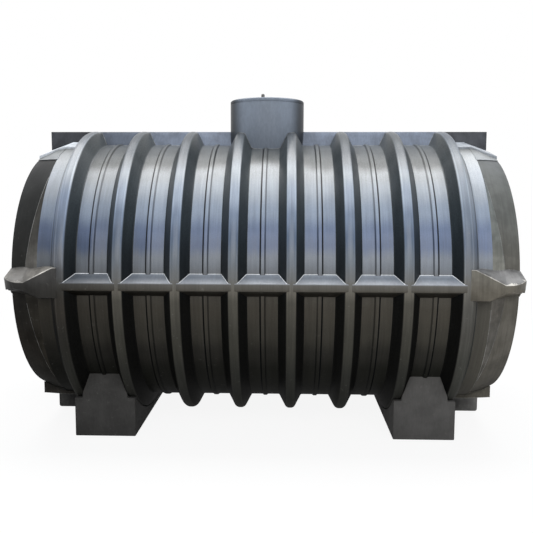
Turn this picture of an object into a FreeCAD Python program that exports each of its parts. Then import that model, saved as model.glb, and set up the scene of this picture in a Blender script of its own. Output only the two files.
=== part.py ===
import FreeCAD, Part

import math
import os

# Ribbed plastic septic tank lying on two feet, with one access shaft on top.
# Millimetres. X runs along the tank, -Y is the front and Z = 0 is the ground.

# Barrel and its round ribs
barrel_radius = 768.0
wall = 12.0
rib_height = 82.0
rib_count = 8
rib_pitch = 298.0
rib_crest_width = 44.0
rib_base_width = 130.0
band_length = 74.0

# Raised bead round the middle of every bay
bead_base_width = 30.0
bead_top_width = 18.0
bead_height = 7.0

# End caps: a gentle shoulder, a steeper taper and a dished end wall
cap_length = 160.0
cap_taper = 59.0
cap_shoulder_length = 48.0
cap_shoulder_drop = 13.0
cap_lip_width = 34.0
cap_dish_depth = 26.0

# Level flange where the upper and lower halves meet, and the fin along the top
flange_crest_thickness = 38.0
flange_base_thickness = 114.0

# Wings of the flange round each end: heights and depths from the parting line,
# first along their free front edge, then along their root on the end cap
wing_upper_height = 96.0
wing_lower_depth = 60.0
wing_upper_run = 8.0
wing_lower_run = 85.0
wing_thin_start = 115.0
wing_root_height = 93.0
wing_root_depth = 89.0
wing_root_run = 116.0
wing_ridge_height = 108.0
wing_ridge_depth = 70.0
wing_ridge_inset = 85.0
wing_rim_height = 74.0
wing_rim_depth = 40.0
wing_reach = 16.0
wing_corner_radius = 110.0

# Upright plates on the centre plane of each end, and the wide pad under each
end_plate_thickness = 44.0
end_plate_inset = 8.0
pad_rise = 18.0
pad_level_length = 125.0
upper_pad_half_width = 221.0
upper_pad_edge_drop = 38.0
upper_pad_fall = 55.0
upper_pad_inset = 0.0
lower_pad_half_width = 300.0
lower_pad_edge_drop = 61.0
lower_pad_fall = 8.0
lower_pad_inset = 13.0

# Feet
foot_depth = 1116.0
foot_block_height = 222.0
ground_clearance = 42.0
foot_bay = 3

# Access shaft, lid and lifting lug
shaft_radius = 224.0
shaft_wall = 10.0
shaft_exposed_height = 183.0
shaft_collar_depth = 34.0
lid_thickness = 22.0
lid_edge_bevel = 6.0
spigot_depth = 30.0
spigot_wall = 8.0
spigot_clearance = 1.0
knob_width = 20.0
knob_height = 49.0
knob_bevel = 6.0
knob_offset = 26.0

# Values that follow from the sizes above
rib_radius = barrel_radius + rib_height
cap_rim_radius = barrel_radius - cap_taper
axis_height = rib_radius + ground_clearance
bay_count = rib_count - 1
crest_gap = rib_pitch - rib_crest_width
ribbed_half_length = bay_count * rib_pitch / 2.0
barrel_half_length = ribbed_half_length + rib_base_width / 2.0 + band_length
rim_x = barrel_half_length + cap_length
wing_tip_x = rim_x + wing_reach
shaft_top = axis_height + rib_radius + shaft_exposed_height

axis_point = FreeCAD.Vector(0.0, 0.0, axis_height)
axis_direction = FreeCAD.Vector(1.0, 0.0, 0.0)
end_sides = (("left", -1), ("right", 1))


# Basic forms

def revolve_section(section):
    """Turn a closed section of (x, radius) corners round the tank's axis."""
    corners = [FreeCAD.Vector(x, 0.0, axis_height + radius) for x, radius in section]
    face = Part.Face(Part.makePolygon(corners + corners[:1]))
    return face.revolve(axis_point, axis_direction, 360.0)


def centred_box(x_centre, x_size, y_size, z_bottom, z_top):
    """A box centred on x_centre and on the tank's centre plane."""
    corner = FreeCAD.Vector(x_centre - x_size / 2.0, -y_size / 2.0, z_bottom)
    return Part.makeBox(x_size, y_size, z_top - z_bottom, corner)


def upright_cylinder(radius, z_bottom, z_top, x_centre=0.0):
    """A cylinder that stands on z_bottom."""
    base = FreeCAD.Vector(x_centre, 0.0, z_bottom)
    return Part.makeCylinder(radius, z_top - z_bottom, base)


def mirror_lengthwise(shape):
    """The same shape at the other end of the tank."""
    return shape.mirror(FreeCAD.Vector(0.0, 0.0, 0.0), FreeCAD.Vector(1.0, 0.0, 0.0))


def place_on_side(shape, side):
    """Keep a right-hand shape, or mirror it to the left when side is -1."""
    if side < 0:
        return mirror_lengthwise(shape)
    return shape


def rib_centre(index):
    """X of rib number index, counted from 0 at the left."""
    return (index - (rib_count - 1) / 2.0) * rib_pitch


def bay_centre(index):
    """X of bay number index, counted from 0 at the left."""
    return (index - (bay_count - 1) / 2.0) * rib_pitch


# Sections that more than one piece shares

def rib_section(centre):
    """Trapezium of one rib, standing on the barrel."""
    half_base = rib_base_width / 2.0
    half_crest = rib_crest_width / 2.0
    return [
        (centre - half_base, barrel_radius),
        (centre - half_crest, rib_radius),
        (centre + half_crest, rib_radius),
        (centre + half_base, barrel_radius),
    ]


def cap_outer_section():
    """Half section of the right end cap's outside: shoulder, taper, lip and dished end wall."""
    dish_radius = cap_rim_radius - cap_lip_width
    return [
        (barrel_half_length, 0.0),
        (barrel_half_length, barrel_radius),
        (barrel_half_length + cap_shoulder_length, barrel_radius - cap_shoulder_drop),
        (rim_x, cap_rim_radius),
        (rim_x, dish_radius),
        (rim_x - cap_dish_depth, dish_radius - cap_dish_depth),
        (rim_x - cap_dish_depth, 0.0),
    ]


def cap_hollow_section():
    """Half section of the space inside the right end cap."""
    end_x = rim_x - cap_dish_depth - wall
    steep_length = cap_length - cap_shoulder_length
    slope = (cap_taper - cap_shoulder_drop) / steep_length
    end_radius = cap_rim_radius + slope * (rim_x - end_x) - wall
    return [
        (barrel_half_length, 0.0),
        (barrel_half_length, barrel_radius - wall),
        (barrel_half_length + cap_shoulder_length, barrel_radius - cap_shoulder_drop - wall),
        (end_x, end_radius),
        (end_x, 0.0),
    ]


def flange_bar(x_centre, length, upright):
    """Tapered bar between two ribs, on the front side or, if upright, on the crown."""
    root = barrel_radius - flange_base_thickness / 2.0
    slope = (flange_base_thickness - flange_crest_thickness) / 2.0 / (rib_radius - barrel_radius)
    root_half = flange_crest_thickness / 2.0 + slope * (rib_radius - root)
    crest_half = flange_crest_thickness / 2.0
    section = [(-root_half, root), (-crest_half, rib_radius), (crest_half, rib_radius), (root_half, root)]
    corners = []
    for across, reach in section:
        if upright:
            corner = FreeCAD.Vector(x_centre - length / 2.0, across, axis_height + reach)
        else:
            corner = FreeCAD.Vector(x_centre - length / 2.0, -reach, axis_height + across)
        corners.append(corner)
    face = Part.Face(Part.makePolygon(corners + corners[:1]))
    return face.extrude(FreeCAD.Vector(length, 0.0, 0.0))


def tank_envelope():
    """Outside of barrel, ribs and caps as one solid, which everything outside is trimmed to."""
    corners = [(-barrel_half_length, 0.0), (-barrel_half_length, barrel_radius)]
    for index in range(rib_count):
        corners += rib_section(rib_centre(index))
    corners += [(barrel_half_length, barrel_radius), (barrel_half_length, 0.0)]
    body = revolve_section(corners)
    right_cap = revolve_section(cap_outer_section())
    return body, right_cap, mirror_lengthwise(right_cap)


# Shell

def build_barrel(shaft_hole):
    """Round barrel wall, open at both ends, with the hole for the access shaft."""
    section = [
        (-barrel_half_length, barrel_radius - wall),
        (-barrel_half_length, barrel_radius),
        (barrel_half_length, barrel_radius),
        (barrel_half_length, barrel_radius - wall),
    ]
    return revolve_section(section).cut(shaft_hole)


def build_rib(index, shaft_hole):
    """One round rib."""
    return revolve_section(rib_section(rib_centre(index))).cut(shaft_hole)


def build_bead(index, obstacles):
    """Raised bead in the middle of one bay, stopped by whatever crosses it."""
    centre = bay_centre(index)
    section = [
        (centre - bead_base_width / 2.0, barrel_radius),
        (centre - bead_top_width / 2.0, barrel_radius + bead_height),
        (centre + bead_top_width / 2.0, barrel_radius + bead_height),
        (centre + bead_base_width / 2.0, barrel_radius),
    ]
    return revolve_section(section).cut(obstacles)


def build_cap():
    """Right end cap: tapered in two steps, with a dished end wall."""
    return revolve_section(cap_outer_section()).cut(revolve_section(cap_hollow_section()))


# Flange and fins

def build_front_flange(envelope):
    """Flange bars in all bays on the front, trimmed to barrel and ribs."""
    bars = [flange_bar(bay_centre(index), crest_gap, False) for index in range(bay_count)]
    return Part.makeCompound([bar.cut(envelope) for bar in bars])


def build_crown_fin(index, envelope, shaft_hole):
    """Fin bar on the crown of one bay, stopped by the access shaft."""
    return flange_bar(bay_centre(index), crest_gap, True).cut(envelope + (shaft_hole,))


def wing_outline(y, top, bottom):
    """Closed outline of the front wing in an upright plane at y, from its (x, height) corners."""
    tip_half = flange_crest_thickness / 2.0
    outline = top + [(wing_tip_x, tip_half), (wing_tip_x, -tip_half)] + bottom[::-1]
    corners = [FreeCAD.Vector(x, y, axis_height + height) for x, height in outline]
    return Part.makePolygon(corners + corners[:1])


def build_end_flange(envelope):
    """Flange that leaves the last rib as a thick wing and runs round the right end."""
    root_y = -cap_rim_radius
    inner_x = ribbed_half_length + rib_crest_width / 2.0
    thin_x = rim_x - wing_thin_start
    ridge_x = rim_x - wing_ridge_inset
    crest_half = flange_crest_thickness / 2.0
    root_half = flange_base_thickness / 2.0
    front_top = [
        (inner_x, wing_upper_height),
        (inner_x + wing_upper_run, wing_upper_height),
        (thin_x, crest_half),
        (rim_x, crest_half),
    ]
    front_bottom = [
        (inner_x, -wing_lower_depth),
        (inner_x + wing_lower_run, -wing_lower_depth),
        (thin_x, -crest_half),
        (rim_x, -crest_half),
    ]
    root_top = [
        (inner_x, wing_root_height),
        (inner_x + wing_root_run, wing_root_height),
        (ridge_x, wing_ridge_height),
        (rim_x, wing_rim_height),
    ]
    root_bottom = [
        (inner_x, -wing_root_depth),
        (inner_x + wing_root_run, -wing_root_depth),
        (ridge_x, -wing_ridge_depth),
        (rim_x, -wing_rim_depth),
    ]
    front = wing_outline(-rib_radius, front_top, front_bottom)
    root = wing_outline(root_y, root_top, root_bottom)
    front_wing = Part.makeLoft([front, root], True, True)
    back_wing = front_wing.mirror(FreeCAD.Vector(0.0, 0.0, 0.0), FreeCAD.Vector(0.0, 1.0, 0.0))
    section = [
        (wing_tip_x, crest_half),
        (wing_tip_x, -crest_half),
        (rim_x, -root_half),
        (rim_x - cap_length / 2.0, -root_half),
        (rim_x - cap_length / 2.0, root_half),
        (rim_x, root_half),
    ]
    corners = [FreeCAD.Vector(x, root_y, axis_height + z) for x, z in section]
    strip_face = Part.Face(Part.makePolygon(corners + corners[:1]))
    end_strip = strip_face.extrude(FreeCAD.Vector(0.0, -2.0 * root_y, 0.0))
    flange = front_wing.fuse([end_strip, back_wing]).removeSplitter()
    plan = centred_box(0.0, 2.0 * wing_tip_x, 2.0 * rib_radius,
                       axis_height - rib_radius, axis_height + rib_radius)
    upright_edges = [edge for edge in plan.Edges if edge.BoundBox.ZLength > rib_radius]
    return flange.common(plan.makeFillet(wing_corner_radius, upright_edges)).cut(envelope)


def build_end_pad(side_up, half_width, edge_drop, fall, inset):
    """Roof-shaped pad of the right end: level beside the rib, then falling towards the rim."""
    inner_x = ribbed_half_length + rib_crest_width / 2.0
    top = barrel_radius + pad_rise
    edge = top - edge_drop
    bottom = edge - half_width
    section = [
        (-half_width, bottom),
        (-half_width, edge),
        (-end_plate_thickness, top),
        (end_plate_thickness, top),
        (half_width, edge),
        (half_width, bottom),
    ]
    corners = [FreeCAD.Vector(inner_x, y, axis_height + side_up * height) for y, height in section]
    face = Part.Face(Part.makePolygon(corners + corners[:1]))
    level = FreeCAD.Vector(pad_level_length, 0.0, 0.0)
    slope = FreeCAD.Vector(rim_x - inset - inner_x - pad_level_length, 0.0, -side_up * fall)
    level_part = face.extrude(level)
    face.translate(level)
    return level_part.fuse(face.extrude(slope))


def build_upper_end_plate(envelope):
    """Upright plate and its pad above the right end."""
    inner_x = ribbed_half_length + rib_crest_width / 2.0
    outer_x = rim_x - end_plate_inset
    plate = centred_box((inner_x + outer_x) / 2.0, outer_x - inner_x, end_plate_thickness,
                        axis_height, axis_height + rib_radius)
    pad = build_end_pad(1, upper_pad_half_width, upper_pad_edge_drop, upper_pad_fall, upper_pad_inset)
    return keep_outside(plate.fuse(pad).cut(envelope))


def build_lower_end_plate(envelope):
    """Upright plate and its pad below the right end, between the foot and the ground."""
    inner_x = foot_outer_x()
    outer_x = rim_x - end_plate_inset
    plate = centred_box((inner_x + outer_x) / 2.0, outer_x - inner_x, end_plate_thickness,
                        0.0, axis_height)
    pad = build_end_pad(-1, lower_pad_half_width, lower_pad_edge_drop, lower_pad_fall, lower_pad_inset)
    return keep_outside(plate.fuse(pad).cut(envelope))


def keep_outside(shape):
    """Of the solids that trimming leaves, the one furthest from the tank's axis."""
    return max(shape.Solids, key=lambda solid: abs(solid.CenterOfMass.z - axis_height))


# Feet

def foot_outer_x():
    """X of the outer side of the right foot."""
    return foot_bay * rib_pitch + (rib_pitch + rib_crest_width) / 2.0


def build_foot(envelope):
    """Right foot: a block under two ribs and a saddle that fills the bay between them."""
    centre = foot_bay * rib_pitch
    block = centred_box(centre, rib_pitch + rib_crest_width, foot_depth, 0.0, foot_block_height)
    saddle = centred_box(centre, crest_gap, foot_depth, 0.0, axis_height)
    foot = block.fuse(saddle).cut(envelope)
    return min(foot.Solids, key=lambda solid: solid.CenterOfMass.z)


# Access shaft

def build_shaft():
    """Access shaft, let into the crown of the tank."""
    inner_barrel = barrel_radius - wall
    collar_bottom = axis_height + math.sqrt(inner_barrel ** 2 - shaft_radius ** 2) - shaft_collar_depth
    outside = upright_cylinder(shaft_radius, collar_bottom, shaft_top - lid_thickness)
    return outside.cut(upright_cylinder(shaft_radius - shaft_wall, collar_bottom, shaft_top))


def build_lid():
    """Round lid with a bevelled edge and a hollow spigot that drops into the shaft."""
    bottom = shaft_top - lid_thickness
    plate = upright_cylinder(shaft_radius, bottom, shaft_top)
    top_edges = [edge for edge in plate.Edges if edge.BoundBox.ZMin > bottom + lid_thickness / 2.0]
    plate = plate.makeChamfer(lid_edge_bevel, top_edges)
    spigot_radius = shaft_radius - shaft_wall - spigot_clearance
    spigot = upright_cylinder(spigot_radius, bottom - spigot_depth, bottom)
    hollow = upright_cylinder(spigot_radius - spigot_wall, bottom - spigot_depth, bottom)
    return plate.fuse(spigot.cut(hollow)).removeSplitter()


def build_knob():
    """Small lifting lug with a bevelled head, on the lid."""
    lug = centred_box(-knob_offset, knob_width, knob_width, shaft_top, shaft_top + knob_height)
    head_edges = [edge for edge in lug.Edges if edge.BoundBox.ZMin > shaft_top + knob_height / 2.0]
    return lug.makeChamfer(knob_bevel, head_edges)


# Assembly

def build_tank():
    """Every named piece of the tank, as a dictionary of shapes."""
    envelope = tank_envelope()
    shaft_hole = upright_cylinder(shaft_radius, axis_height, shaft_top)
    front_flange = build_front_flange(envelope)
    back_flange = front_flange.mirror(FreeCAD.Vector(0.0, 0.0, 0.0), FreeCAD.Vector(0.0, 1.0, 0.0))
    foot = build_foot(envelope)
    cap = build_cap()
    end_flange = build_end_flange(envelope)
    upper_plate = build_upper_end_plate(envelope)
    lower_plate = build_lower_end_plate(envelope)

    pieces = {"barrel": build_barrel(shaft_hole)}
    for index in range(rib_count):
        pieces["rib_%d" % (index + 1)] = build_rib(index, shaft_hole)
    fins = []
    for index in range(bay_count):
        fin = build_crown_fin(index, envelope, shaft_hole)
        if fin.Solids:
            fins.append(fin)
            pieces["crown_fin_%d" % (index + 1)] = fin
    crossings = [front_flange, back_flange, shaft_hole] + fins
    crossings += [place_on_side(foot, side) for name, side in end_sides]
    for index in range(bay_count):
        pieces["bay_bead_%d" % (index + 1)] = build_bead(index, crossings)
    pieces["front_flange"] = front_flange
    pieces["back_flange"] = back_flange
    for name, side in end_sides:
        pieces[name + "_end_cap"] = place_on_side(cap, side)
        pieces[name + "_end_flange"] = place_on_side(end_flange, side)
        pieces[name + "_upper_end_plate"] = place_on_side(upper_plate, side)
        pieces[name + "_lower_end_plate"] = place_on_side(lower_plate, side)
        pieces[name + "_foot"] = place_on_side(foot, side)
    pieces["access_shaft"] = build_shaft()
    pieces["lid"] = build_lid()
    pieces["lid_knob"] = build_knob()
    return pieces


os.makedirs("parts", exist_ok=True)
for node, shape in build_tank().items():
    shape.exportStep("parts/%s.step" % node)
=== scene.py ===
"""Looks of a black moulded septic tank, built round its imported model.

Metres. X runs along the tank, -Y is the front and Z = 0 is the ground.
"""

import logging
import math
from dataclasses import dataclass, replace
from enum import Enum
from typing import Callable, Iterable, Optional, Sequence, Union

import bmesh
import bpy
from mathutils import Matrix, Vector

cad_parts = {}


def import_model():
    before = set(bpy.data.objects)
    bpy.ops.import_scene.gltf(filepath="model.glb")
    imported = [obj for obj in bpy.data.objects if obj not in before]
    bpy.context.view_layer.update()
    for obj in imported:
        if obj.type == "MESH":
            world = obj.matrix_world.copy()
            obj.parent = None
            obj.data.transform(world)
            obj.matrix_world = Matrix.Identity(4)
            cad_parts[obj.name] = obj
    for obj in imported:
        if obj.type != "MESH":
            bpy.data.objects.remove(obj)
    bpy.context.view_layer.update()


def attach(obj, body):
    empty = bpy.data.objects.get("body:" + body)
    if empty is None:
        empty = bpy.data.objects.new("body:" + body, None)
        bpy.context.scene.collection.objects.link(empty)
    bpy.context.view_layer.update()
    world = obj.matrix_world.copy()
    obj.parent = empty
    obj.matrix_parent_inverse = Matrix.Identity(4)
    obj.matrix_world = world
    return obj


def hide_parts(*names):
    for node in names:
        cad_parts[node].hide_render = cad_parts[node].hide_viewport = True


log = logging.getLogger("septic_tank")

Colour = tuple[float, float, float]
Stop = tuple[float, Colour]
Place = Sequence[float]
Piece = bpy.types.Object
Socket = bpy.types.NodeSocket
Edge = bmesh.types.BMEdge
Face = bpy.types.MeshPolygon

AXIS_HEIGHT = 0.892
BARREL_RADIUS = 0.768
BARREL_HALF = 1.182
WALL = 0.012
RIB_RADIUS = 0.850
RIB_PITCH = 0.298
RIB_COUNT = 8
RIB_BASE = 0.130
RIB_CREST = 0.044
RIM_X = 1.342
SHAFT_RADIUS = 0.224

SPIN_STEPS = 180
MERGE_DISTANCE = 1e-5
NODE_MERGE_DISTANCE = 2e-5
SAME_PLACE = 1e-4
NEAR_END = 0.002
ON_FACE = 0.004
FLAT_ANGLE = math.radians(0.8)
SHARP_ANGLE = math.radians(25.0)
PLANAR_ANGLE = math.radians(1.0)
LINE_SHADING = 60.0
ROUND_SHADING = 40.0
CAP_SHADING = 20.0


def srgb(red: int, green: int, blue: int) -> Colour:
    """Turn a colour picked on a 0 to 255 chart into Blender's linear values.

    Args:
        red: Red from 0 to 255.
        green: Green from 0 to 255.
        blue: Blue from 0 to 255.

    Returns:
        The same colour as three linear values from 0 to 1.
    """
    shares = [value / 255.0 for value in (red, green, blue)]
    return tuple(share / 12.92 if share <= 0.04045 else ((share + 0.055) / 1.055) ** 2.4 for share in shares)


def stops(*rows: tuple[float, int, int, int]) -> tuple[Stop, ...]:
    """Turn rows of a place and a charted colour into the stops of a ramp."""
    return tuple((place, srgb(*chart)) for place, *chart in rows)


def plain(red: int, green: int, blue: int) -> tuple[Stop, ...]:
    """Stops of one charted colour all over."""
    return stops((-1.0, red, green, blue), (1.0, red, green, blue))


def rib_centre(index: int) -> float:
    """X of rib number index, counted from 0 at the left."""
    return (index - (RIB_COUNT - 1) / 2.0) * RIB_PITCH


def bay_centre(index: int) -> float:
    """X of bay number index, counted from 0 at the left."""
    return (index - (RIB_COUNT - 2) / 2.0) * RIB_PITCH


class Bench:
    """The few moves with which every piece is shaped."""

    MODES = {"verts": "VERT", "edges": "EDGE", "faces": "FACE"}

    @staticmethod
    def clear() -> None:
        """Leave edit mode and deselect everything."""
        if bpy.context.object and bpy.context.object.mode != "OBJECT":
            bpy.ops.object.mode_set(mode="OBJECT")
        bpy.ops.object.select_all(action="DESELECT")

    @staticmethod
    def hold(piece: Piece) -> None:
        """Select one piece alone and make it active.

        Args:
            piece: The object to work on.
        """
        Bench.clear()
        piece.select_set(True)
        bpy.context.view_layer.objects.active = piece

    @staticmethod
    def edit(piece: Piece) -> None:
        """Open one piece in edit mode with everything selected.

        Args:
            piece: The object to open.
        """
        Bench.hold(piece)
        bpy.ops.object.mode_set(mode="EDIT")
        bpy.ops.mesh.select_mode(type="EDGE")
        bpy.ops.mesh.select_all(action="SELECT")

    @staticmethod
    def pick(kind: str, test: Callable[..., bool]) -> int:
        """Select just those elements of the open mesh that pass a test.

        Args:
            kind: verts, edges or faces.
            test: Says for one element whether it is wanted.

        Returns:
            How many elements were selected.
        """
        bpy.ops.mesh.select_mode(type=Bench.MODES[kind])
        bpy.ops.mesh.select_all(action="DESELECT")
        mesh = bmesh.from_edit_mesh(bpy.context.object.data)
        wanted = [element for element in getattr(mesh, kind) if test(element)]
        for element in wanted:
            element.select_set(True)
        mesh.select_flush(True)
        bmesh.update_edit_mesh(bpy.context.object.data)
        return len(wanted)

    @staticmethod
    def shift(wanted: Callable[[Vector], bool], distance: Place) -> None:
        """Move the corners of the open mesh that pass a test.

        Args:
            wanted: Says for one corner's place whether it moves.
            distance: How far the corners move.
        """
        if Bench.pick("verts", lambda vert: wanted(vert.co)):
            bpy.ops.transform.translate(value=distance)

    @staticmethod
    def face_out() -> None:
        """Turn every face of the open mesh outwards."""
        bpy.ops.mesh.select_all(action="SELECT")
        bpy.ops.mesh.normals_make_consistent(inside=False)

    @staticmethod
    def trace(name: str, corners: Sequence[Place]) -> Piece:
        """Draw a line of edges, corner by corner, and leave it open in edit mode.

        Args:
            name: Name of the new object.
            corners: Corner positions in order.

        Returns:
            The new object, with every corner selected.
        """
        Bench.clear()
        bpy.ops.mesh.primitive_plane_add(size=0.01, location=(0.0, 0.0, 0.0))
        piece = bpy.context.object
        piece.name = piece.data.name = name
        bpy.ops.object.mode_set(mode="EDIT")
        bpy.ops.mesh.select_mode(type="VERT")
        bpy.ops.mesh.select_all(action="SELECT")
        bpy.ops.mesh.merge(type="CENTER")
        points = [Vector(corner) for corner in corners]
        bpy.ops.transform.translate(value=points[0])
        for start, end in zip(points, points[1:]):
            bpy.ops.mesh.extrude_vertices_move(TRANSFORM_OT_translate={"value": end - start})
        bpy.ops.mesh.select_all(action="SELECT")
        return piece

    @staticmethod
    def outline(name: str, corners: Sequence[Place]) -> Piece:
        """Draw a closed outline with its face and leave it open in edit mode.

        Args:
            name: Name of the new object.
            corners: Corner positions in order.

        Returns:
            The new object, with every corner selected.
        """
        piece = Bench.trace(name, corners)
        bpy.ops.mesh.edge_face_add()
        return piece

    @staticmethod
    def tube(name: str, radius: float) -> Piece:
        """Turn the open piece, of bare edges, into a thin round line of plastic.

        Args:
            name: Name of the line.
            radius: Radius of the line.

        Returns:
            The finished line.
        """
        bpy.ops.object.mode_set(mode="OBJECT")
        bpy.ops.object.convert(target="CURVE")
        curve = bpy.context.object.data
        curve.bevel_depth = radius
        curve.bevel_resolution = 1
        curve.use_fill_caps = True
        bpy.ops.object.convert(target="MESH")
        line = bpy.context.object
        line.data.name = name
        return Bench.close(line, LINE_SHADING)

    @staticmethod
    def thread(name: str, points: Sequence[Place], radius: float) -> Piece:
        """Lay a thin round line of plastic through a row of points.

        Args:
            name: Name of the new object.
            points: Places on the line; the last is the first again where the line closes.
            radius: Radius of the line.

        Returns:
            The finished line.
        """
        Bench.trace(name, points)
        bpy.ops.mesh.remove_doubles(threshold=MERGE_DISTANCE)
        return Bench.tube(name, radius)

    @staticmethod
    def round_corners(near: Iterable[Place], radius: float, segments: int) -> None:
        """Round the corners of the open outline that lie at given places.

        Args:
            near: Places of the corners to round.
            radius: How far each rounding reaches along its edges.
            segments: Steps in each rounding.
        """
        places = [Vector(place) for place in near]
        Bench.pick("verts", lambda vert: any((vert.co - place).length < SAME_PLACE for place in places))
        bpy.ops.mesh.bevel(offset=radius, segments=segments, affect="VERTICES")

    @staticmethod
    def turn_round_axis() -> None:
        """Spin the open outline once round the tank's axis and close the seam."""
        bpy.ops.mesh.select_all(action="SELECT")
        bpy.ops.mesh.delete(type="ONLY_FACE")
        bpy.ops.mesh.select_all(action="SELECT")
        bpy.ops.mesh.spin(steps=SPIN_STEPS, angle=2.0 * math.pi, center=(0.0, 0.0, AXIS_HEIGHT),
                          axis=(1.0, 0.0, 0.0))
        bpy.ops.mesh.select_all(action="SELECT")
        bpy.ops.mesh.remove_doubles(threshold=MERGE_DISTANCE)
        Bench.face_out()

    @staticmethod
    def bevel_sharp(width: float, segments: int, wanted: Callable[[Edge], bool]) -> None:
        """Bevel the sharp edges of the open mesh that pass a test.

        Args:
            width: Width of the bevel.
            segments: Steps in the bevel.
            wanted: Says for one edge whether it may be bevelled.
        """
        if Bench.pick("edges", lambda edge: len(edge.link_faces) == 2
                      and edge.calc_face_angle(0.0) > SHARP_ANGLE and wanted(edge)):
            bpy.ops.mesh.bevel(offset=width, segments=segments, affect="EDGES", clamp_overlap=True)

    @staticmethod
    def close(piece: Piece, angle: float = 32.0) -> Piece:
        """Leave edit mode, put the piece's place in its mesh and shade it.

        Args:
            piece: The object to finish.
            angle: Edges sharper than this many degrees stay sharp.

        Returns:
            The same object.
        """
        Bench.hold(piece)
        bpy.ops.object.transform_apply(location=True, rotation=True, scale=True)
        bpy.ops.object.shade_smooth_by_angle(angle=math.radians(angle))
        return piece

    @staticmethod
    def double(piece: Piece, name: str) -> Piece:
        """Copy a piece, with a mesh of its own.

        Args:
            piece: The piece to copy.
            name: Name of the copy.

        Returns:
            The copy, selected alone.
        """
        Bench.hold(piece)
        bpy.ops.object.duplicate(linked=False)
        twin = bpy.context.object
        twin.name = twin.data.name = name
        return twin

    @staticmethod
    def copy_along(piece: Piece, name: str, distance: float) -> Piece:
        """Copy a finished piece along the tank.

        Args:
            piece: The piece to copy.
            name: Name of the copy.
            distance: How far the copy moves along X.

        Returns:
            The copy.
        """
        twin = Bench.double(piece, name)
        bpy.ops.transform.translate(value=(distance, 0.0, 0.0))
        bpy.ops.object.transform_apply(location=True, rotation=False, scale=False)
        return twin

    @staticmethod
    def mirror(piece: Piece, name: str, axis: int) -> Piece:
        """Copy a finished piece to the other side of the tank's middle.

        Args:
            piece: The piece to copy.
            name: Name of the copy.
            axis: 0 to mirror end for end, 1 to mirror front to back.

        Returns:
            The copy.
        """
        twin = Bench.double(piece, name)
        Bench.edit(twin)
        bpy.ops.transform.mirror(constraint_axis=(axis == 0, axis == 1, False),
                                 center_override=(0.0, 0.0, 0.0))
        bpy.ops.mesh.normals_make_consistent(inside=False)
        return Bench.close(twin)

    @staticmethod
    def from_node(node: str, name: str) -> Piece:
        """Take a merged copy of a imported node, to shape it further by hand.

        Args:
            node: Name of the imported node.
            name: Name of the new piece.

        Returns:
            The copy, open in edit mode.
        """
        piece = bpy.data.objects.new(name, bpy.data.objects[node].data.copy())
        piece.data.name = name
        piece.data.materials.clear()
        bpy.context.scene.collection.objects.link(piece)
        Bench.edit(piece)
        bpy.ops.mesh.customdata_custom_splitnormals_clear()
        bpy.ops.mesh.remove_doubles(threshold=NODE_MERGE_DISTANCE)
        bpy.ops.mesh.dissolve_limited(angle_limit=FLAT_ANGLE)
        bpy.ops.mesh.normals_make_consistent(inside=False)
        return piece


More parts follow.
